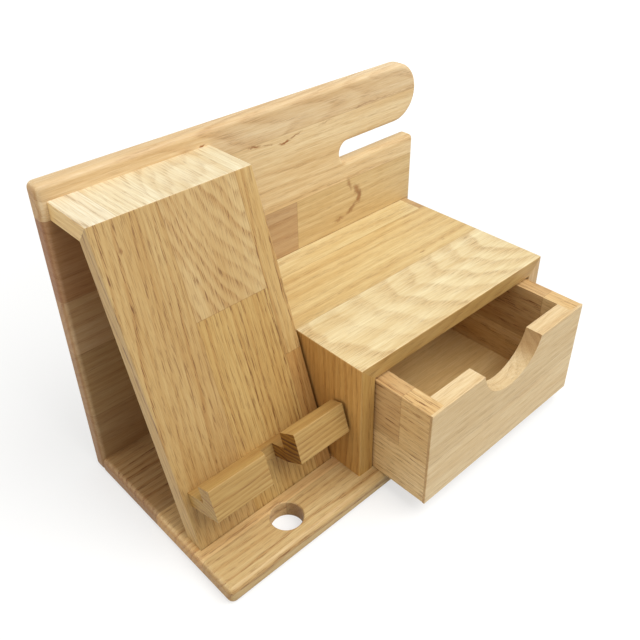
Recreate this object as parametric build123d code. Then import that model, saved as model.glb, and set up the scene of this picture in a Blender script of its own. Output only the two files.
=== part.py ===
from build123d import *
import os
from math import cos, radians, sin, tan

# A desk valet in edge-glued oak: a base and a back board, a leaning phone panel
# with its rest, and a mitred housing with one drawer.  Millimetres, +Z up.
# The origin is the centre of the footprint of base and back, on the underside.
# +X is to the right and -Y to the front, as someone sits before it.

# ---- base and back board ----
WIDTH = 300.0                # base and back board, left to right
BASE_DEPTH = 138.0           # base, front edge to the face of the back board
BASE_T = 12.0                # base thickness
BACK_T = 12.0                # back board thickness
BACK_H = 211.0               # back board, floor to top edge
CORNER_R = 4.0               # rounded corners of base and back, seen flat on
EDGE_R = 3.5                 # routed round-over along the edges of base and back
SIDE_INSET = 5.0             # from the ends of the base to the panel and the housing

# ---- arm and slot in the back board ----
ARM_H = 43.0                 # arm, slot to top edge; its end is a full round
SLOT_H = 15.0                # slot under the arm, open to the right
SLOT_LENGTH = 79.0           # from the right end to the slot's round inner end

# ---- hole in the base for a charging lead ----
LEAD_HOLE_R = 10.5
LEAD_HOLE_FROM_FRONT = 19.0
HOLE_EASE = 0.6              # eased upper rim

# ---- leaning panel and the ledge that ties it to the back ----
PANEL_T = 12.0
PANEL_LEAN = 18.5            # degrees from upright
PANEL_FROM_FRONT = 35.0      # foot of its front face, from the base's front edge
PANEL_GAP = 1.5              # shadow gap between the panel and the housing
LEDGE_T = 11.0
LEDGE_DROP = 10.0            # back board's top edge down to the ledge's upper face
FOOT_GROOVE = 2.0            # depth of the groove in the base that holds the foot
FOOT_FIT = 0.1               # play of the foot in its groove, on every side
BOARD_EASE = 0.8             # sanded edges of panel, ledge and housing

# ---- phone rest, an L-shaped bar across the panel ----
REST_UP = 38.2               # from the foot of the panel up its face to the shelf
REST_LEFT = 4.0              # panel's left edge to the end of the bar
REST_RIGHT = 0.5             # panel's right edge to the other end
SHELF_T = 9.5
SHELF_DEPTH = 17.5           # room for the phone, panel to lip
LIP_T = 10.5
LIP_H = 11.2                 # lip above the shelf
PLUG_GAP = 17.0              # gap in lip and shelf for the charging plug
PLUG_FLARE = 2.4             # each side of that gap opens by this through the lip
PLUG_WEB = 5.0               # strip of shelf left behind that gap
REST_EASE = 0.6

# ---- drawer housing ----
HOUSING_W = 183.0
HOUSING_H = 99.5             # floor to the housing's upper face
HOUSING_T = 12.0
HOUSING_FROM_FRONT = 10.0    # its front face, from the base's front edge

# ---- drawer ----
DRAWER_T = 12.0
DRAWER_SIDE_PLAY = 0.6       # each side, to the housing
DRAWER_TOP_PLAY = 2.0
DRAWER_RUN_PLAY = 0.3        # over the base, which it slides on
DRAWER_BACK_PLAY = 2.5       # behind it when it is shut
DRAWER_OPEN = 43.5           # how far it stands open at rest
FRONT_TONGUE = 1.7           # thin front lap that covers the end of each side
NOTCH_R = 30.5               # finger notch
NOTCH_RISE = 6.5             # its centre above the drawer's top edge
DRAWER_EASE = 0.6
FLOOR_T = 4.0                # plywood floor
FLOOR_UP = 3.2               # lower edge of the boards to the floor's groove
FLOOR_IN = 5.0               # depth of that groove
FLOOR_PLAY = 0.1             # play of the floor in its groove, all round

# ---- hidden beech dowels of the glued joints ----
DOWEL_R = 3.0                # base to back
SMALL_DOWEL_R = 2.5          # housing and ledge
REST_DOWEL_R = 2.0
DOWEL_FIT = 0.05             # glue film round a dowel
DOWEL_END_GAP = 0.5          # room for glue past each end
DOWEL_COVER = 4.5            # wood left between a hole's end and the far face
DOWEL_GRIP = 18.0            # reach into the board that is met end on
REST_DOWEL_GRIP = 12.0
BACK_DOWEL_COUNT = 4
DOWEL_MARGIN = 28.0          # outer dowels, from the ends of their joint

# ---- planes and edges worked out from the sizes above ----
FRONT_Y = -(BASE_DEPTH + BACK_T) / 2
BACK_FACE_Y = FRONT_Y + BASE_DEPTH
REAR_Y = BACK_FACE_Y + BACK_T
LEFT_X = -WIDTH / 2
RIGHT_X = WIDTH / 2
LEDGE_H = BACK_H - LEDGE_DROP
HOUSING_X1 = RIGHT_X - SIDE_INSET
HOUSING_X0 = HOUSING_X1 - HOUSING_W
HOUSING_Y = FRONT_Y + HOUSING_FROM_FRONT
PANEL_X0 = LEFT_X + SIDE_INSET
PANEL_X1 = HOUSING_X0 - PANEL_GAP
PANEL_W = PANEL_X1 - PANEL_X0
PANEL_FOOT_Y = FRONT_Y + PANEL_FROM_FRONT
PANEL_MID_X = (PANEL_X0 + PANEL_X1) / 2
LEAN_TAN = tan(radians(PANEL_LEAN))
LEAN_COS = cos(radians(PANEL_LEAN))
LEAN_SIN = sin(radians(PANEL_LEAN))
DRAWER_X0 = HOUSING_X0 + HOUSING_T + DRAWER_SIDE_PLAY
DRAWER_X1 = HOUSING_X1 - HOUSING_T - DRAWER_SIDE_PLAY
DRAWER_Y0 = HOUSING_Y - DRAWER_OPEN
DRAWER_Y1 = BACK_FACE_Y - DRAWER_BACK_PLAY - DRAWER_OPEN
DRAWER_Z0 = BASE_T + DRAWER_RUN_PLAY
DRAWER_Z1 = HOUSING_H - HOUSING_T - DRAWER_TOP_PLAY
CUT = 2.0 * BACK_H           # longer than any cut needs to be


def block(x0, x1, y0, y1, z0, z1):
    """A plain board between the given planes."""
    size = Box(x1 - x0, y1 - y0, z1 - z0)
    return Pos((x0 + x1) / 2, (y0 + y1) / 2, (z0 + z1) / 2) * size


def side_profile(points, x0, x1):
    """Extrude an outline given as (y, z) points from x0 to x1."""
    face = make_face(Polyline(*points, close=True))
    return extrude(Plane.YZ.offset(x0) * face, amount=x1 - x0)


def front_profile(face, y0, y1):
    """Extrude a face drawn in x and z from y1 forwards to y0."""
    return extrude(Plane.XZ.offset(-y1) * face, amount=y1 - y0)


def near(edges, axis, value, tol=0.01):
    """The edges that lie wholly on one plane across an axis."""
    return edges.filter_by_position(axis, value - tol, value + tol)


def spread(low, high, count):
    """Evenly spaced places, the outer ones a margin in from both ends."""
    first, last = low + DOWEL_MARGIN, high - DOWEL_MARGIN
    return [first + (last - first) * i / (count - 1) for i in range(count)]


# ---------------------------------------------------------------- dowels
def rod(radius, length):
    """A round rod along +Z from z = 0."""
    return Cylinder(radius, length, align=(Align.CENTER, Align.CENTER, Align.MIN))


def dowel(place, radius, deep, grip):
    """A dowel through the joint plane at place: deep behind it, grip before it."""
    return place * Pos(0, 0, -deep) * rod(radius, deep + grip)


def dowel_hole(place, radius, deep, grip):
    """The holes for that dowel in both boards, with the room for glue."""
    length = deep + grip + 2 * DOWEL_END_GAP
    return place * Pos(0, 0, -deep - DOWEL_END_GAP) * rod(radius + DOWEL_FIT, length)


BACK_SEAT = BACK_T - DOWEL_COVER
BASE_SEAT = BASE_T - DOWEL_COVER
PANEL_SEAT = PANEL_T - DOWEL_COVER
TO_FRONT = Rotation(90, 0, 0)            # +Z turned to -Y


def back_places():
    """Joint of the base's rear edge and the back board."""
    return [Pos(x, BACK_FACE_Y, BASE_T / 2) * TO_FRONT
            for x in spread(LEFT_X, RIGHT_X, BACK_DOWEL_COUNT)]


def housing_side_places(x0):
    """Joint of one housing side, from x0, and the base."""
    return [Pos(x0 + HOUSING_T / 2, y, BASE_T) for y in spread(HOUSING_Y, BACK_FACE_Y, 2)]


def housing_top_places():
    """Joint of the housing top's rear edge and the back board."""
    return [Pos(x, BACK_FACE_Y, HOUSING_H - HOUSING_T / 2) * TO_FRONT
            for x in spread(HOUSING_X0, HOUSING_X1, 2)]


def ledge_places():
    """Joint of the ledge's rear edge and the back board."""
    return [Pos(x, BACK_FACE_Y, LEDGE_H - LEDGE_T / 2) * TO_FRONT
            for x in spread(PANEL_X0, PANEL_X1, 2)]


def rest_places():
    """Joint of the phone rest and the panel's face, square to the face."""
    up = REST_UP - SHELF_T / 2
    return [panel_frame() * Pos(x, 0, up) * TO_FRONT
            for x in spread(PANEL_X0 + REST_LEFT, PANEL_X1 - REST_RIGHT, 2)]


def panel_frame():
    """Frame at the foot of the panel's front face: +Z up the face, -Y out of it."""
    return Pos(0, PANEL_FOOT_Y, BASE_T) * Rotation(-PANEL_LEAN, 0, 0)


# each joint: its places, the dowel's radius, its reach behind and before the joint plane
JOINTS = {
    "back": (back_places(), DOWEL_R, BACK_SEAT, DOWEL_GRIP),
    "housing_side": (housing_side_places(HOUSING_X0) + housing_side_places(HOUSING_X1 - HOUSING_T),
                     SMALL_DOWEL_R, BASE_SEAT, DOWEL_GRIP),
    "housing_top": (housing_top_places(), SMALL_DOWEL_R, BACK_SEAT, DOWEL_GRIP),
    "ledge": (ledge_places(), SMALL_DOWEL_R, BACK_SEAT, DOWEL_GRIP),
    "rest": (rest_places(), REST_DOWEL_R, PANEL_SEAT, REST_DOWEL_GRIP),
}


def dowels(*names):
    """The dowels of the named joints, as separate solids in one group."""
    made = [dowel(place, radius, deep, grip)
            for name in names for places, radius, deep, grip in [JOINTS[name]] for place in places]
    return Compound(children=made)


def drilled(board, *names):
    """A board with the dowel holes of the named joints that reach it."""
    for name in names:
        places, radius, deep, grip = JOINTS[name]
        for place in places:
            board -= dowel_hole(place, radius, deep, grip)
    return board


# ---------------------------------------------------------------- base and back
def base_board():
    """Base with rounded front corners and edges, the lead hole and the foot's groove."""
    board = block(LEFT_X, RIGHT_X, FRONT_Y, BACK_FACE_Y, 0, BASE_T)
    corners = near(board.edges().filter_by(Axis.Z), Axis.Y, FRONT_Y)
    board = fillet(corners, CORNER_R)
    rims = near(board.edges(), Axis.Z, 0) + near(board.edges(), Axis.Z, BASE_T)
    rims = [e for e in rims if e.center().Y < BACK_FACE_Y - CORNER_R / 2]
    board = fillet(rims, EDGE_R)
    hole = Pos(PANEL_MID_X, FRONT_Y + LEAD_HOLE_FROM_FRONT, BASE_T / 2)
    board -= hole * Cylinder(LEAD_HOLE_R, CUT)
    rim = near(board.edges().filter_by(GeomType.CIRCLE), Axis.Z, BASE_T)
    board = chamfer([e for e in rim if abs(e.radius - LEAD_HOLE_R) < HOLE_EASE / 2], HOLE_EASE)
    foot_front = PANEL_FOOT_Y - FOOT_GROOVE * LEAN_TAN
    foot_rear = PANEL_FOOT_Y + PANEL_T / LEAN_COS
    board -= block(PANEL_X0 - FOOT_FIT, PANEL_X1 + FOOT_FIT,
                   foot_front - FOOT_FIT, foot_rear + FOOT_FIT,
                   BASE_T - FOOT_GROOVE, BASE_T + CUT)
    return drilled(board, "back", "housing_side")


def back_outline():
    """Back board seen flat on: rounded corners, the slot and the arm's full-round end."""
    arm_r = ARM_H / 2
    slot_top = BACK_H - ARM_H
    slot_low = slot_top - SLOT_H
    slot_in = RIGHT_X - SLOT_LENGTH + SLOT_H / 2
    plate = Pos(0, BACK_H / 2) * Rectangle(WIDTH, BACK_H)
    slot = Pos(slot_in, slot_low + SLOT_H / 2) * Circle(SLOT_H / 2)
    slot += Pos((slot_in + RIGHT_X) / 2, slot_low + SLOT_H / 2) * Rectangle(RIGHT_X - slot_in, SLOT_H)
    plate -= slot
    plate -= Pos(RIGHT_X - arm_r / 2, BACK_H - arm_r) * Rectangle(arm_r, ARM_H)
    plate += Pos(RIGHT_X - arm_r, BACK_H - arm_r) * Circle(arm_r)
    square = [(LEFT_X, 0), (RIGHT_X, 0), (LEFT_X, BACK_H), (RIGHT_X, slot_low)]
    corners = [v for v in plate.vertices()
               if any(abs(v.X - x) + abs(v.Y - y) < EDGE_R / 10 for x, y in square)]
    return fillet(corners, CORNER_R)


def back_board():
    """Back board, routed round its outline on both faces."""
    board = front_profile(back_outline(), BACK_FACE_Y, REAR_Y)
    rims = near(board.edges(), Axis.Y, BACK_FACE_Y) + near(board.edges(), Axis.Y, REAR_Y)
    board = fillet(rims, EDGE_R)
    return drilled(board, "back", "housing_top", "ledge")


# ---------------------------------------------------------------- panel and ledge
def front_line(z):
    """y of the panel's front face at height z."""
    return PANEL_FOOT_Y + (z - BASE_T) * LEAN_TAN


def rear_line(z):
    """y of the panel's rear face at height z."""
    return front_line(z) + PANEL_T / LEAN_COS


def stand():
    """Panel and ledge as one bent board, with its outer edges sanded."""
    foot, under = BASE_T - FOOT_GROOVE, LEDGE_H - LEDGE_T
    points = [(front_line(foot), foot), (front_line(LEDGE_H), LEDGE_H), (BACK_FACE_Y, LEDGE_H),
              (BACK_FACE_Y, under), (rear_line(under), under), (rear_line(foot), foot)]
    board = side_profile(points, PANEL_X0, PANEL_X1)
    middle = (front_line(foot) + front_line(LEDGE_H)) / 2
    shoulder = near(board.edges().filter_by(Axis.X), Axis.Z, LEDGE_H).sort_by(Axis.Y)[0]
    ends = near(board.edges(), Axis.X, PANEL_X0) + near(board.edges(), Axis.X, PANEL_X1)
    sloped = [e for e in ends if abs(e.center().Y - middle) < FOOT_FIT]
    level = [e for e in ends if abs(e.center().Z - LEDGE_H) < FOOT_FIT]
    return fillet([shoulder] + sloped + level, BOARD_EASE)


def panel_half():
    """The space on the panel's side of the mitre."""
    low, high = LEDGE_H - LEDGE_T, LEDGE_H
    slope = (front_line(high) - rear_line(low)) / (high - low)
    points = [(front_line(high) + slope * LEDGE_T, high + LEDGE_T),
              (rear_line(low) - slope * LEDGE_T, low - LEDGE_T),
              (BACK_FACE_Y, low - LEDGE_T), (BACK_FACE_Y, 0),
              (FRONT_Y, 0), (FRONT_Y, high + LEDGE_T)]
    return side_profile(points, LEFT_X, RIGHT_X)


def phone_panel():
    """Leaning panel, its foot in the base's groove, mitred at the top."""
    return drilled(stand() & panel_half(), "rest")


def ledge_board():
    """Short ledge from the mitre back to the back board."""
    return drilled(stand() - panel_half(), "ledge")


def phone_rest():
    """L-shaped bar, rebated for the phone, with the gap for the plug."""
    out, up = SHELF_DEPTH + LIP_T, REST_UP + LIP_H
    x0, x1 = PANEL_X0 + REST_LEFT, PANEL_X1 - REST_RIGHT
    points = [(0, REST_UP - SHELF_T), (-out, REST_UP - SHELF_T), (-out, up),
              (-SHELF_DEPTH, up), (-SHELF_DEPTH, REST_UP), (0, REST_UP)]
    bar = side_profile(points, x0, x1)
    long_edges = bar.edges().filter_by(Axis.X)
    outer = near(long_edges, Axis.Y, -out) + near(long_edges, Axis.Z, up)
    bar = fillet(ShapeList(set(outer)), REST_EASE) - plug_gap((x0 + x1) / 2)
    return drilled(panel_frame() * bar, "rest")


def plug_gap(middle):
    """The gap seen from above: straight past the shelf, then flared through the lip."""
    half, past = PLUG_GAP / 2, 2.0           # the cut runs on past the lip at the same slope
    wide, front = half + past * PLUG_FLARE, -SHELF_DEPTH - past * LIP_T
    right = [(half, -PLUG_WEB), (half, -SHELF_DEPTH), (wide, front)]
    left = [(-x, y) for x, y in reversed(right)]
    outline = make_face(Polyline(*right, *left, close=True))
    return Pos(middle, 0, 0) * extrude(outline, amount=CUT)


# ---------------------------------------------------------------- drawer housing
def housing():
    """Top and two sides as one bent board, with its outer edges sanded."""
    outer = block(HOUSING_X0, HOUSING_X1, HOUSING_Y, BACK_FACE_Y, BASE_T, HOUSING_H)
    inner = block(HOUSING_X0 + HOUSING_T, HOUSING_X1 - HOUSING_T, HOUSING_Y, BACK_FACE_Y,
                  BASE_T, HOUSING_H - HOUSING_T)
    shell = outer - inner
    long_edges = near(shell.edges().filter_by(Axis.Y), Axis.Z, HOUSING_H)
    mouth = near(shell.edges(), Axis.Y, HOUSING_Y)
    mouth = [e for e in mouth if e.center().Z > BASE_T + BOARD_EASE]
    return fillet(list(long_edges) + mouth, BOARD_EASE)


def mitre_wedge():
    """The space between the two mitres, which holds the housing's top."""
    reach = HOUSING_H - BASE_T
    inner_x0, inner_x1 = HOUSING_X0 + HOUSING_T, HOUSING_X1 - HOUSING_T
    low = HOUSING_H - HOUSING_T
    line = Polyline((inner_x0, low), (inner_x1, low), (inner_x1 + reach, low + reach),
                    (inner_x0 - reach, low + reach), close=True)
    return front_profile(make_face(line), HOUSING_Y, BACK_FACE_Y)


def housing_top():
    return drilled(housing() & mitre_wedge(), "housing_top")


def housing_side(left):
    """One side, from the base up to the mitre."""
    sides = (housing() - mitre_wedge()).solids().sort_by(Axis.X)
    return drilled(sides[0] if left else sides[-1], "housing_side")


# ---------------------------------------------------------------- drawer
def floor_groove():
    """The groove all round the drawer, in which its floor is held."""
    low = DRAWER_Z0 + FLOOR_UP
    inset = DRAWER_T - FLOOR_IN
    return block(DRAWER_X0 + inset, DRAWER_X1 - inset, DRAWER_Y0 + inset, DRAWER_Y1 - inset,
                 low, low + FLOOR_T + 2 * FLOOR_PLAY)


def lapped_board(y_out, y_in):
    """A drawer front or back: full width, with a thin lap past each side's end."""
    step = FRONT_TONGUE if y_in > y_out else -FRONT_TONGUE
    low, high = sorted((y_out, y_in))
    board = block(DRAWER_X0, DRAWER_X1, low, high, DRAWER_Z0, DRAWER_Z1)
    low, high = sorted((y_out + step, y_in))
    for x0 in (DRAWER_X0, DRAWER_X1 - DRAWER_T):
        board -= block(x0, x0 + DRAWER_T, low, high, DRAWER_Z0, DRAWER_Z1)
    return board


def drawer_front():
    """Front with the finger notch cut through its upper edge."""
    board = lapped_board(DRAWER_Y0, DRAWER_Y0 + DRAWER_T)
    board = fillet(near(board.edges(), Axis.Y, DRAWER_Y0), DRAWER_EASE)
    notch = Pos((DRAWER_X0 + DRAWER_X1) / 2, DRAWER_Z1 + NOTCH_RISE) * Circle(NOTCH_R)
    board -= front_profile(notch, DRAWER_Y0, DRAWER_Y0 + DRAWER_T)
    return board - floor_groove()


def drawer_back():
    return lapped_board(DRAWER_Y1, DRAWER_Y1 - DRAWER_T) - floor_groove()


def drawer_side(x0):
    """A side between the laps of front and back."""
    board = block(x0, x0 + DRAWER_T, DRAWER_Y0 + FRONT_TONGUE, DRAWER_Y1 - FRONT_TONGUE,
                  DRAWER_Z0, DRAWER_Z1)
    outside = DRAWER_X0 if x0 == DRAWER_X0 else DRAWER_X1
    long_edges = near(board.edges().filter_by(Axis.Y), Axis.X, outside)
    return fillet(long_edges, DRAWER_EASE) - floor_groove()


def drawer_floor():
    """Thin floor, loose in its groove as wood has to be."""
    inset = DRAWER_T - FLOOR_IN + FLOOR_PLAY
    low = DRAWER_Z0 + FLOOR_UP + FLOOR_PLAY
    return block(DRAWER_X0 + inset, DRAWER_X1 - inset, DRAWER_Y0 + inset, DRAWER_Y1 - inset,
                 low, low + FLOOR_T)


PARTS = {
    "base_board": base_board(),
    "back_board": back_board(),
    "phone_panel": phone_panel(),
    "ledge_board": ledge_board(),
    "phone_rest": phone_rest(),
    "housing_top": housing_top(),
    "housing_left_side": housing_side(True),
    "housing_right_side": housing_side(False),
    "drawer_front": drawer_front(),
    "drawer_left_side": drawer_side(DRAWER_X0),
    "drawer_right_side": drawer_side(DRAWER_X1 - DRAWER_T),
    "drawer_back": drawer_back(),
    "drawer_floor": drawer_floor(),
    "back_dowels": dowels("back"),
    "housing_dowels": dowels("housing_side", "housing_top"),
    "ledge_dowels": dowels("ledge"),
    "rest_dowels": dowels("rest"),
}

os.makedirs("parts", exist_ok=True)
for name, shape in PARTS.items():
    export_step(shape, f"parts/{name}.step")
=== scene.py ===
from math import cos, radians, sin

import bpy
from mathutils import Matrix, Vector

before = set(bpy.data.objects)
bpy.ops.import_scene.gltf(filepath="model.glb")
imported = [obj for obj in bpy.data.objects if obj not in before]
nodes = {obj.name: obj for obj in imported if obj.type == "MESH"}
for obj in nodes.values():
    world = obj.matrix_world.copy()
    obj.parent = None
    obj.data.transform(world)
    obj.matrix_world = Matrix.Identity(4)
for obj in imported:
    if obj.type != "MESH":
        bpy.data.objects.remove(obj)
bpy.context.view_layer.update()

# ---------------------------------------------------------------- base board
# A 12 mm board of edge-glued oak staves, grain left to right, routed round its front
# and ends, then sanded and oiled.  It carries everything; a lead comes up its hole.
# All the boards are the same wood, so the finish is written here and used by each.
TO_MM = 1000.0                       # Object coordinates are metres, the wood is written in millimetres
FAR, BEYOND = -400, 1000.0           # mm, ahead of every board's edge, where first rows and staves
                                     # start, and past its far one
BASE_TOP = 12
SLOW_GROWTH = (0.012, 0.06, 0.06)    # noise cells per mm along the grain, across it and into the board,
FIBRE_CELLS = (0.05, 1.2, 1.2)       # for the bends of the rings, the fibres, the broad drifts of colour
DRIFT_CELLS = (0.008, 0.09, 0.09)    # and the pores
PORE_CELLS = (0.11, 1.9, 1.9)
RING_STRAY = 8.0                     # mm by which slow growth pushes a ring off its circle
PORE_DEPTH = 0.1                     # mm
MARK_STRAY = 5.0                     # mm over which the edge of a mark is ragged
RIGHT, BACK, UP = Vector((1, 0, 0)), Vector((0, 1, 0)), Vector((0, 0, 1))


def linear(code):
    """A #RRGGBB colour as the linear RGBA that a shader takes."""
    parts = [int(code[i:i + 2], 16) / 255 for i in (1, 3, 5)]
    return [p / 12.92 if p <= 0.04045 else ((p + 0.055) / 1.055) ** 2.4 for p in parts] + [1.0]


def add(tree, kind, settings=None, links=None):
    """One shader node: settings by attribute or input, links by input.  Gives its outputs.
    Inputs that share a name go by number: 0 to 2 in a Math node, and in a Mix node 0 for the
    factor, 4 and 5 for two vectors and 6 and 7 for two colours."""
    node = tree.nodes.new("ShaderNode" + kind)
    for key, value in (settings or {}).items():
        if isinstance(key, str) and hasattr(node, key):
            setattr(node, key, value)
        else:
            node.inputs[key].default_value = value
    for key, source in (links or {}).items():
        tree.links.new(source, node.inputs[key])
    return node.outputs


def glued_staves(tree, along, across, rows):
    """The staves of a board.  A row is where it starts across the board and its staves, each
    as its start along the grain, its colour and its heart: how far across the board the middle
    of the tree lies, how far below the face, and how much deeper it gets with every mm along.
    A row's first stave runs from the board's end.  Gives the colour, the heart and the
    distance to the nearest glue line."""
    colour = heart = line = None
    for i, (low, staves) in enumerate(rows):
        half = (rows[i + 1][0] - low) / 2 if i + 1 < len(rows) else BEYOND
        in_row = add(tree, "Math", {"operation": "COMPARE", 1: low + half, 2: half}, {0: across})[0]
        outside = add(tree, "Math", {"operation": "SUBTRACT", 0: 1.0}, {1: in_row})[0]
        for j, (start, code, centre) in enumerate(staves):
            mask = in_row
            away = add(tree, "Math", {"operation": "SUBTRACT", 1: low}, {0: across})[0]
            if j:
                away = add(tree, "Math", {"operation": "SUBTRACT", 1: start}, {0: along})[0]
                mask = add(tree, "Math", {"operation": "GREATER_THAN", 1: 0.0}, {0: away})[0]
                mask = add(tree, "Math", {"operation": "MULTIPLY"}, {0: mask, 1: in_row})[0]
            away = add(tree, "Math", {"operation": "ABSOLUTE"}, {0: away})[0]
            if j:
                away = add(tree, "Math", {"operation": "MULTIPLY_ADD", 1: BEYOND},
                           {0: outside, 2: away})[0]
            colour = add(tree, "Mix", {"data_type": "RGBA", 6: linear(code), 7: linear(code)},
                         {0: mask, 6: colour} if colour else {0: mask})[2]
            heart = add(tree, "Mix", {"data_type": "VECTOR", 4: centre, 5: centre},
                        {0: mask, 4: heart} if heart else {0: mask})[1]
            line = away if line is None else add(
                tree, "Math", {"operation": "MINIMUM"}, {0: line, 1: away})[0]
    return colour, heart, line


def oiled_oak(name, along, across, origin, rows, ring=3.5, figure=0.5, pores=0.5,
              end_tint="#DCCBB4", end_rings=0.4, edge_tint="#FFFFFF", scorched=None, marks=()):
    """Oiled, sanded oak: growth rings that show as lines or arches on the face and as arcs on
    the end, brown open pores as short dashes along the grain, faint fibres, and a colour of its
    own for every stave.  It is a solid pattern, so faces and ends of one board agree.  The
    origin is a point of the face.  A year is ring mm wide; figure, pores and end_rings say how
    strongly the rings and pores show on the face and the rings on the end; end_tint and
    edge_tint colour the ends and the long edges.  Scorched is the middle and half length of the
    stretch where a saw has browned the end grain.  Marks are knots, bark and mineral streaks,
    as soft ovals given by centre, half length and half width in mm, turn in degrees and
    strength."""
    material = bpy.data.materials.new(name)
    material.use_nodes = True
    tree = material.node_tree
    tree.nodes.clear()
    turn = Matrix((along, across, along.cross(across)))
    coordinate = add(tree, "TexCoord")
    board = add(tree, "Mapping", {"Scale": (TO_MM,) * 3, "Rotation": turn.to_euler(),
                                  "Location": -(turn @ Vector(origin))},
                {"Vector": coordinate["Object"]})[0]
    place = add(tree, "SeparateXYZ", None, {0: board})
    colour, heart, line = glued_staves(tree, place[0], place[1], rows)

    # each stave is cut from another place
    shift = add(tree, "TexWhiteNoise", {"noise_dimensions": "3D"}, {"Vector": heart})[1]
    wood = add(tree, "VectorMath", {"operation": "MULTIPLY_ADD", 1: (BEYOND,) * 3},
               {0: shift, 2: board})[0]

    # distance from the heart, bent by slow growth and counted in years, some darker than others
    centre = add(tree, "SeparateXYZ", None, {0: heart})
    beside = add(tree, "Math", {"operation": "SUBTRACT"}, {0: place[1], 1: centre[0]})[0]
    below = add(tree, "Math", {"operation": "MULTIPLY_ADD"}, {0: place[0], 1: centre[2], 2: centre[1]})[0]
    below = add(tree, "Math", {"operation": "ADD"}, {0: below, 1: place[2]})[0]
    from_heart = add(tree, "CombineXYZ", None, {0: beside, 1: below})[0]
    reach = add(tree, "VectorMath", {"operation": "LENGTH"}, {0: from_heart})[1]
    slow = add(tree, "VectorMath", {"operation": "MULTIPLY", 1: SLOW_GROWTH}, {0: wood})[0]
    bend = add(tree, "TexNoise", {"Scale": 1.0, "Detail": 1.5, "Roughness": 0.5}, {"Vector": slow})[0]
    reach = add(tree, "Math", {"operation": "MULTIPLY_ADD", 1: RING_STRAY}, {0: bend, 2: reach})[0]
    count = add(tree, "Math", {"operation": "DIVIDE", 1: ring}, {0: reach})[0]
    year = add(tree, "Math", {"operation": "FLOOR"}, {0: count})[0]
    luck = add(tree, "TexWhiteNoise", {"noise_dimensions": "1D"}, {"W": year})[0]
    luck = add(tree, "MapRange", {"To Min": 0.25, "To Max": 1.0}, {"Value": luck})[0]
    part = add(tree, "Math", {"operation": "FRACT"}, {0: count})[0]
    start = add(tree, "MapRange", {"interpolation_type": "SMOOTHSTEP", "From Min": 0.0, "From Max": 0.2},
                {"Value": part})[0]
    fade = add(tree, "MapRange", {"interpolation_type": "SMOOTHSTEP", "From Min": 0.85, "From Max": 0.2},
               {"Value": part})[0]
    early = add(tree, "Math", {"operation": "MULTIPLY"}, {0: start, 1: fade})[0]
    early = add(tree, "Math", {"operation": "MULTIPLY"}, {0: early, 1: luck})[0]

    # fibres about 1 mm wide, and broad drifts of colour
    thread = add(tree, "VectorMath", {"operation": "MULTIPLY", 1: FIBRE_CELLS}, {0: wood})[0]
    fibre = add(tree, "TexNoise", {"Scale": 1.0, "Detail": 3.0, "Roughness": 0.7}, {"Vector": thread})[0]
    wide = add(tree, "VectorMath", {"operation": "MULTIPLY", 1: DRIFT_CELLS}, {0: wood})[0]
    drift = add(tree, "TexNoise", {"Scale": 1.0, "Detail": 2.0}, {"Vector": wide})[0]

    # pores are 0.3 mm wide and 3 to 12 mm long, drawn twice as wide so that they show
    slit = add(tree, "VectorMath", {"operation": "MULTIPLY", 1: PORE_CELLS}, {0: wood})[0]
    slits = add(tree, "TexNoise", {"Scale": 1.0, "Detail": 2.0, "Roughness": 0.4}, {"Vector": slit})[0]
    slits = add(tree, "MapRange", {"interpolation_type": "SMOOTHSTEP", "From Min": 0.54, "From Max": 0.61},
                {"Value": slits})[0]
    in_early = add(tree, "MapRange", {"To Min": 0.2, "To Max": 1.0}, {"Value": early})[0]
    open_pores = add(tree, "Math", {"operation": "MULTIPLY"}, {0: slits, 1: in_early})[0]

    # end grain drinks more oil, dries darker and shows the rings best
    facing = add(tree, "VectorMath", {"operation": "DOT_PRODUCT", 1: along}, {0: coordinate["Normal"]})[1]
    facing = add(tree, "Math", {"operation": "ABSOLUTE"}, {0: facing})[0]
    end = add(tree, "MapRange", {"interpolation_type": "SMOOTHSTEP", "From Min": 0.55, "From Max": 0.9},
              {"Value": facing})[0]
    side = add(tree, "VectorMath", {"operation": "DOT_PRODUCT", 1: across}, {0: coordinate["Normal"]})[1]
    side = add(tree, "Math", {"operation": "ABSOLUTE"}, {0: side})[0]
    edge = add(tree, "MapRange", {"interpolation_type": "SMOOTHSTEP", "From Min": 0.55, "From Max": 0.9},
               {"Value": side})[0]
    contrast = add(tree, "MapRange", {"To Min": figure, "To Max": end_rings}, {"Value": end})[0]
    rings = add(tree, "Math", {"operation": "MULTIPLY"}, {0: early, 1: contrast})[0]
    fibres = add(tree, "MapRange", {"From Min": 0.3, "From Max": 0.75, "To Max": 0.8},
                 {"Value": fibre})[0]
    drifts = add(tree, "MapRange", {"From Min": 0.3, "From Max": 0.7}, {"Value": drift})[0]
    holes = add(tree, "Math", {"operation": "MULTIPLY", 1: pores}, {0: open_pores})[0]
    glue = add(tree, "MapRange", {"From Min": 0.4, "From Max": 0.0, "To Max": 0.4}, {"Value": line})[0]
    tints = [(rings, "#D0B088"), (fibres, "#E4D3B8"), (drifts, "#F1E7D8"), (holes, "#8F6B45"),
             (glue, "#B59A78"), (end, end_tint), (edge, edge_tint)]

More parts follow.
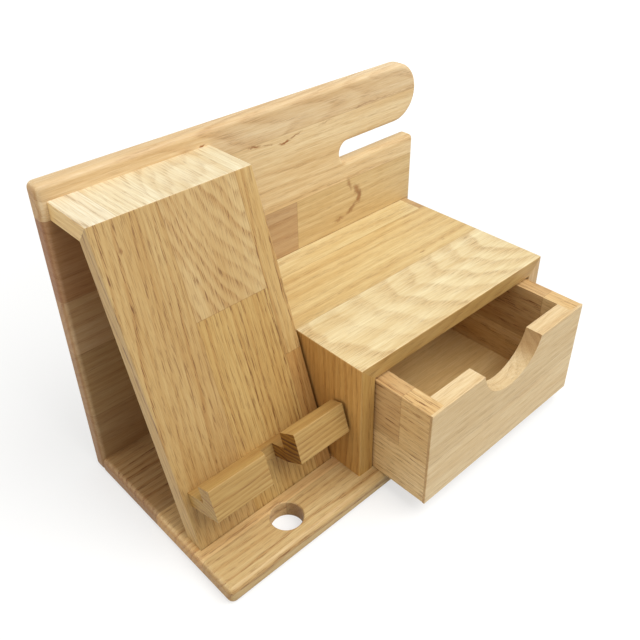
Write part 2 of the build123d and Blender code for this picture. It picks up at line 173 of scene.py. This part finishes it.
    if scorched:
        near = add(tree, "Math", {"operation": "COMPARE", 1: scorched[0], 2: scorched[1]},
                   {0: place[0]})[0]
        near = add(tree, "Math", {"operation": "MULTIPLY"}, {0: near, 1: end})[0]
        dark = add(tree, "Math", {"operation": "MULTIPLY"}, {0: near, 1: early})[0]
        tints += [(near, "#E0C47C"), (dark, "#866332")]
    if marks:
        ragged = add(tree, "TexNoise", {"Scale": 0.25, "Detail": 3.0}, {"Vector": board})[1]
        ragged = add(tree, "VectorMath", {"operation": "MULTIPLY_ADD", 1: (MARK_STRAY, MARK_STRAY, 0.0)},
                     {0: ragged, 2: board})[0]
    for x, y, long, wide, angle, strength in marks:
        middle = (x + MARK_STRAY / 2, y + MARK_STRAY / 2, 0)
        oval = add(tree, "Mapping", {"vector_type": "TEXTURE", "Location": middle,
                                     "Rotation": (0, 0, radians(angle)), "Scale": (long, wide, BEYOND)},
                   {"Vector": ragged})[0]
        away = add(tree, "VectorMath", {"operation": "LENGTH"}, {0: oval})[1]
        spot = add(tree, "MapRange", {"interpolation_type": "SMOOTHSTEP", "From Min": 1.2, "From Max": 0.2,
                                      "To Max": strength}, {"Value": away})[0]
        tints.append((spot, "#A87440"))
    for amount, tint in tints:
        colour = add(tree, "Mix", {"data_type": "RGBA", "blend_type": "MULTIPLY", 7: linear(tint)},
                     {0: amount, 6: colour})[2]

    relief = add(tree, "Math", {"operation": "MULTIPLY_ADD", 1: 0.3}, {0: fibre})[0]
    relief = add(tree, "Math", {"operation": "SUBTRACT"}, {0: relief, 1: open_pores})[0]
    bump = add(tree, "Bump", {"Strength": 0.25, "Distance": PORE_DEPTH / TO_MM}, {"Height": relief})[0]
    gloss = add(tree, "MapRange", {"From Min": 0.3, "From Max": 0.7, "To Min": 0.48, "To Max": 0.6},
                {"Value": fibre})[0]
    shader = add(tree, "BsdfPrincipled", {"IOR": 1.5},
                 {"Base Color": colour, "Roughness": gloss, "Normal": bump})[0]
    add(tree, "OutputMaterial", None, {0: shader})
    return material


def finish_with(material, *names):
    """Put a material on the slots of CAD nodes."""
    for name in names:
        for place in nodes[name].material_slots:
            place.material = material


BASE_ROWS = [(FAR, [(FAR, "#D8BF8B", (-130, 40, 0.03))]),
             (-48, [(FAR, "#E5C68F", (-90, 30, 0.02)), (70, "#C4A77D", (20, 60, 0.03))]),
             (0, [(FAR, "#BA9A6C", (80, 40, 0.02))])]
finish_with(oiled_oak("oiled oak, base", RIGHT, BACK, (0, 0, BASE_TOP), BASE_ROWS,
                      ring=4.0, figure=0.7, pores=0.7), "base_board")

# ---------------------------------------------------------------- back board
# The tall board behind, of the same 12 mm oak, with the rounded arm and slot cut in its
# right end.  Five rows of staves, one with a short brown piece whose brown is partly its
# own tone and partly painted shade of the hollow under the ledge, with bark streaks and a
# mineral swirl.
BACK_FACE = 63
BACK_ROWS_WITH_PAINTED_SHADE = [(FAR, [(FAR, "#B89A70", (20, 40, 0.02))]),
             (50, [(FAR, "#BFA276", (140, 40, 0.02)), (60, "#C8AC80", (60, 60, 0.0))]),
             (100, [(FAR, "#CBAD84", (170, 60, 0.03)), (28, "#E1CA98", (40, 70, 0.02))]),
             # the first stave of this row, in the hollow behind the panel, is darker partly by painted
             # shade under the ledge
             (138, [(FAR, "#B89066", (0, 60, 0.03)), (-60, "#F0DBAF", (100, 50, 0.03))]),
             (190, [(FAR, "#EAD4AC", (196, 26, 0.12))])]
BARK = [(-6, 189, 6, 0.9, -5, 0.8), (5, 187, 5, 0.7, -10, 0.5), (19, 184.5, 6, 1.2, 0, 1.0),
        (29, 187, 6, 1.0, 15, 0.8), (57, 188.5, 8, 0.8, 8, 0.4), (105, 191, 40, 0.7, 0, 0.4),
        (-45, 201.7, 3, 0.6, 5, 1.0)]
SWIRL = [(80, 134, 7, 2.2, -70, 0.55), (88, 127, 7, 3.2, -55, 0.7), (90, 120, 6, 3.4, 70, 0.75),
         (82, 113, 8, 2.2, 35, 0.65), (69, 108.5, 7, 1.4, 8, 0.55)]
finish_with(oiled_oak("oiled oak with painted shade, back", RIGHT, UP, (0, BACK_FACE, 0), BACK_ROWS_WITH_PAINTED_SHADE,
                      ring=4.5, figure=0.3, pores=0.3, marks=BARK + SWIRL), "back_board")

# ---------------------------------------------------------------- phone panel and ledge
# The leaning board that a phone rests on, mitred to a short ledge that ties it to the
# back.  One run of staves folds over the mitre, so both have the same glue lines.
LEAN = radians(18.5)
PANEL_UP = Vector((0, sin(LEAN), cos(LEAN)))
PANEL_FOOT = (0, -40, BASE_TOP)
LEDGE_TOP = 201
PANEL_ROWS_WITH_PAINTED_SHADE = [(FAR, [(FAR, "#CDAF76", (-180, 60, -0.12))]),
              (-103, [(FAR, "#D0B171", (-170, 40, 0.0)), (128, "#D4B984", (-30, 124, -0.28))]),
              # in the right row the stave below 83 mm up is darker brown, partly its own tone and partly
              # painted shade from the housing and the rest
              (-52, [(FAR, "#C59D5F", (-100, 30, 0.0)), (83, "#D2B479", (-90, 40, -0.02))])]
KNOT = [(182, -131.5, 2.5, 1.2, 0, 0.6)]
finish_with(oiled_oak("oiled oak with painted shade, panel", PANEL_UP, RIGHT, PANEL_FOOT, PANEL_ROWS_WITH_PAINTED_SHADE,
                      ring=3.4, figure=0.55, pores=0.9, marks=KNOT), "phone_panel")
# The ledge's near-white staves are partly the pale wood's own tone and partly a painted sheen: the glossy
# reflection on its top is put into the colour.
LEDGE_ROWS_WITH_PAINTED_SHEEN = [(FAR, [(FAR, "#F9F4DC", (-180, 40, 0.05))]),
              (-127, [(FAR, "#F6EECF", (-180, 40, 0.05))]),
              (-103, [(FAR, "#F2E9C9", (-60, 60, 0.2))]),
              (-52, [(FAR, "#F4EDCE", (-100, 40, 0.0))])]
finish_with(oiled_oak("oiled oak with painted sheen, ledge", BACK, RIGHT, (0, 0, LEDGE_TOP), LEDGE_ROWS_WITH_PAINTED_SHEEN,
                      ring=3.4, figure=0.35, pores=0.4, edge_tint="#FAE3B8"), "ledge_board")

# ---------------------------------------------------------------- phone rest
# An L-shaped bar of yellower solid oak, glued and dowelled across the panel, with a gap
# for the plug.  The saw cuts at the gap and the ends show dark, ringed end grain.
REST_ROWS = [(FAR, [(FAR, "#C2A365", (-60, 10, 0.005))])]
GAP_MIDDLE, GAP_REACH = -90.5, 15.0
finish_with(oiled_oak("oiled oak, rest", RIGHT, PANEL_UP, PANEL_FOOT, REST_ROWS,
                      ring=3.0, figure=0.7, pores=0.4, end_tint="#F0EDDA", end_rings=1.0,
                      scorched=(GAP_MIDDLE, GAP_REACH)), "phone_rest")

# ---------------------------------------------------------------- drawer housing
# Three boards mitred at the upper corners: the grain runs up the sides and over the top.
# The front stave of the top shows broad arches, and two small knots lie behind it.
HOUSING_TOP, HOUSING_LEFT, HOUSING_RIGHT = 99.5, -38, 145
TOP_ROWS = [(FAR, [(FAR, "#EEE1B7", (-25, 90, -0.35))]),
            (-8, [(FAR, "#E5CF98", (-70, 30, 0.02))]),
            (43, [(FAR, "#EADBAA", (20, 50, 0.03)), (139, "#CFB384", (60, 60, 0.0))])]
SMALL_KNOTS = [(90, -2, 3, 0.8, 0, 0.7), (114, -0.5, 2, 0.7, 0, 0.5)]
finish_with(oiled_oak("oiled oak, housing top", RIGHT, BACK, (0, 0, HOUSING_TOP), TOP_ROWS,
                      ring=8.0, figure=0.35, pores=0.4, edge_tint="#D2BA90", marks=SMALL_KNOTS),
            "housing_top")
# The left side's staves are more orange than the wood, partly its own tone and partly painted warm light
# bounced from the panel; the edge tint takes that painted bounce off the front edges.
LEFT_ROWS_WITH_PAINTED_BOUNCE = [(FAR, [(FAR, "#D4A860", (-100, 30, 0.0))]),
             (-8, [(FAR, "#BD9258", (60, 40, 0.0))]),
             (43, [(FAR, "#BD945D", (0, 50, 0.0))])]
finish_with(oiled_oak("oiled oak with painted warm bounce, housing sides", UP, BACK, (HOUSING_LEFT, 0, 0), LEFT_ROWS_WITH_PAINTED_BOUNCE,
                      ring=4.0, figure=0.45, pores=0.5, edge_tint="#F0F9FF"), "housing_left_side")
RIGHT_ROWS = [(FAR, [(FAR, "#DCC295", (60, 40, 0.0))])]
finish_with(oiled_oak("oiled oak, right housing side", UP, BACK, (HOUSING_RIGHT, 0, 0), RIGHT_ROWS),
            "housing_right_side")

# ---------------------------------------------------------------- drawer
# A box of five pieces: front and back lap over the ends of the sides, and a thin floor
# slides in a groove.  The front is a pinkish board with its grain left to right.
DRAWER_FACE, DRAWER_LEFT, DRAWER_REAR, FLOOR_TOP = -108.5, -25.4, 5, 19.6
FRONT_ROWS = [(FAR, [(FAR, "#F1DDB3", (120, 80, 0.01))]),
              (45, [(FAR, "#E9D4A9", (-20, 80, 0.01))])]
finish_with(oiled_oak("oiled oak, drawer front", RIGHT, UP, (0, DRAWER_FACE, 0), FRONT_ROWS,
                      ring=4.5, figure=0.2, pores=0.3), "drawer_front")
# In the upper row the stave behind -85 mm, next to the housing, is darker partly by its own tone and
# partly by painted shade of the housing.
DRAWER_SIDE_ROWS_WITH_PAINTED_SHADE = [(FAR, [(FAR, "#EFD49F", (-40, 40, 0.0))]),
                    (46, [(FAR, "#E7CA94", (110, 30, 0.01)), (-85, "#D7B682", (120, 40, 0.0))])]
finish_with(oiled_oak("oiled oak with painted shade, drawer sides", BACK, UP, (DRAWER_LEFT, 0, 0), DRAWER_SIDE_ROWS_WITH_PAINTED_SHADE,
                      ring=3.0, figure=0.4, pores=1.0), "drawer_left_side", "drawer_right_side")
REAR_ROWS = [(FAR, [(FAR, "#C9A878", (120, 40, 0.0))])]
finish_with(oiled_oak("oiled oak, drawer back", RIGHT, UP, (0, DRAWER_REAR, 0), REAR_ROWS),
            "drawer_back")
VENEER_ROWS = [(FAR, [(FAR, "#E8C98E", (90, 60, 0.0))])]
finish_with(oiled_oak("oak-faced plywood", RIGHT, BACK, (0, 0, FLOOR_TOP), VENEER_ROWS,
                      ring=5.0, figure=0.15, pores=0.2), "drawer_floor")

# ---------------------------------------------------------------- dowels
# Plain turned beech dowels, glued across the butt joints and into the rest.
# They hold from inside and show nowhere.
DOWEL_ROWS = [(FAR, [(FAR, "#D9B98E", (60, 40, 0.0))])]
finish_with(oiled_oak("raw beech, turned", UP, RIGHT, (0, 0, 0), DOWEL_ROWS,
                      ring=2.0, figure=0.1, pores=0.1),
            "back_dowels", "housing_dowels", "ledge_dowels", "rest_dowels")

# ---------------------------------------------------------------- table and light
# A matt white table that fades into a white room, with the object's own soft shadow on it,
# lit by a soft box above the front and a weaker one at the left.
TABLE_REACH, TABLE_DROP = 6.0, 0.0002
FADE_FROM, FADE_TO = 0.3, 1.0
LAMP_AIM = (0, 0, 0.08)
bpy.ops.object.select_all(action="DESELECT")
bpy.ops.mesh.primitive_plane_add(size=2 * TABLE_REACH, location=(0, 0, -TABLE_DROP))
table = bpy.context.object
table.name = "table_top"


def looked_at(tree):
    """1 on rays from the camera, straight or by way of a gloss, and 0 on the rays that light."""
    paths = add(tree, "LightPath")
    seen = add(tree, "Math", {"operation": "MAXIMUM"},
               {0: paths["Is Camera Ray"], 1: paths["Is Glossy Ray"]})[0]
    return add(tree, "Math", {"operation": "MAXIMUM"}, {0: seen, 1: paths["Is Transmission Ray"]})[0]


white = bpy.data.materials.new("matt white table")
white.use_nodes = True
tree = white.node_tree
tree.nodes.clear()
away = add(tree, "VectorMath", {"operation": "LENGTH"}, {0: add(tree, "TexCoord")["Object"]})[1]
lift = add(tree, "MapRange", {"interpolation_type": "SMOOTHSTEP", "From Min": FADE_FROM,
                              "From Max": FADE_TO, "To Min": 0.62, "To Max": 1.0}, {"Value": away})[0]
lift = add(tree, "Math", {"operation": "MULTIPLY"}, {0: lift, 1: looked_at(tree)})[0]
matt = add(tree, "BsdfDiffuse", {"Color": linear("#A8A8A6")})[0]
glow = add(tree, "Emission", {"Color": linear("#FFFFFF")}, {"Strength": lift})[0]
both = add(tree, "AddShader", None, {0: matt, 1: glow})[0]
add(tree, "OutputMaterial", None, {0: both})
table.data.materials.append(white)

world = bpy.data.worlds.new("white room")
bpy.context.scene.world = world
world.use_nodes = True
tree = world.node_tree
tree.nodes.clear()
strength = add(tree, "MapRange", {"To Min": 0.45, "To Max": 1.0}, {"Value": looked_at(tree)})[0]
sky = add(tree, "Background", {"Color": linear("#FFFFFF")}, {"Strength": strength})[0]
add(tree, "OutputWorld", None, {0: sky})


def soft_lamp(name, place, aim, size, watts):
    """A square soft box that faces a point."""
    lamp = bpy.data.lights.new(name, "AREA")
    lamp.shape, lamp.size, lamp.energy = "SQUARE", size, watts
    stand = bpy.data.objects.new(name, lamp)
    bpy.context.scene.collection.objects.link(stand)
    stand.location = place
    stand.rotation_euler = (Vector(aim) - Vector(place)).to_track_quat("-Z", "Y").to_euler()


soft_lamp("key_soft_box", (0.3, -0.8, 1.45), LAMP_AIM, 1.3, 25.0)
soft_lamp("fill_soft_box", (-1.5, 0.35, 0.5), LAMP_AIM, 1.0, 8.0)

# ---------------------------------------------------------------- camera
# Where the photograph was taken from: left of the front, looking down 35 degrees.
AIM = Vector((-21.9, -12.4, 113.2)) / TO_MM
AZIMUTH, ELEVATION, ROLL = radians(-42.696), radians(35.031), radians(-0.97)
DISTANCE = 465.68 / TO_MM
camera_data = bpy.data.cameras.new("camera")
camera = bpy.data.objects.new("camera", camera_data)
bpy.context.scene.collection.objects.link(camera)
away = Vector((sin(AZIMUTH) * cos(ELEVATION), -cos(AZIMUTH) * cos(ELEVATION), sin(ELEVATION)))
camera.location = AIM + DISTANCE * away
look = away.to_track_quat("Z", "Y").to_matrix() @ Matrix.Rotation(ROLL, 3, "Z")
camera.rotation_euler = look.to_euler()
camera_data.sensor_width = 36.0
camera_data.lens = 42.28
camera_data.shift_x, camera_data.shift_y = 0.0009, -0.0248
camera_data.clip_start, camera_data.clip_end = 0.01, 50.0
bpy.context.scene.camera = camera
bpy.context.scene.view_settings.view_transform = "Standard"
